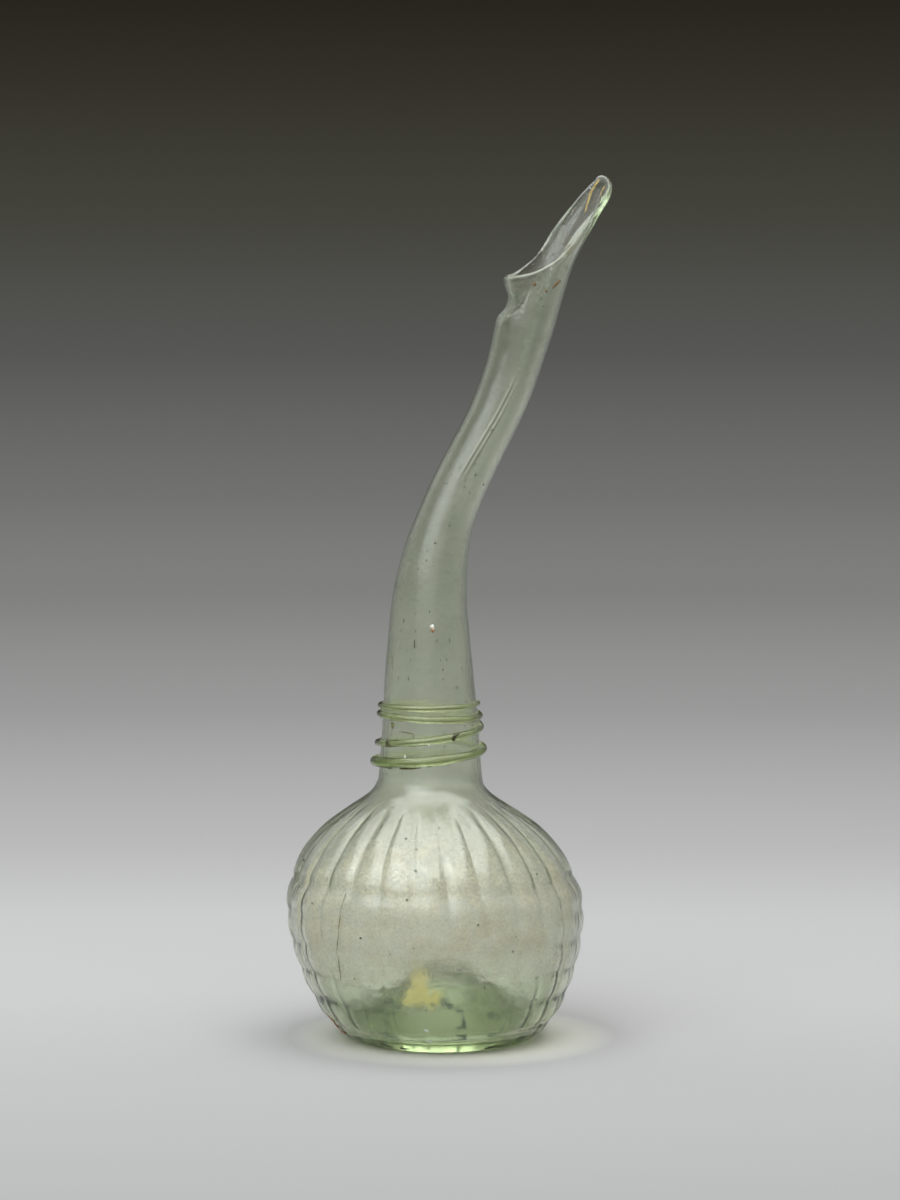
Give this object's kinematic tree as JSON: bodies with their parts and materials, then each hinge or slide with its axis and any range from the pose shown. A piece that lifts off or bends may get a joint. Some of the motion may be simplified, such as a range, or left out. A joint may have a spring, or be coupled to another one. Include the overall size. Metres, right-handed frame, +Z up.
{
  "type": "swan-neck glass bottle",
  "caption": "Blown glass bottle with a ribbed round body, a long twice-bent neck that opens in a drawn-out leaf-shaped mouth, and a glass thread wound round the foot of the neck.",
  "frame": {"origin": "on the surface the bottle stands on, under the middle of its bounding box", "axes": "+Z up; the neck bends in the XZ plane and the tip of the mouth points to +X"},
  "size_m": [0.1357, 0.1192, 0.3463],
  "materials": {
    "vessel_glass": "clear pale green, glossy, lightly weathered",
    "trail_glass": "clear yellow-green, glossy"
  },
  "bodies": {
    "root": {"body": "vessel_glass", "neck": "vessel_glass", "mouth": "vessel_glass", "neck_trail": "trail_glass"}
  },
  "joints": []
}
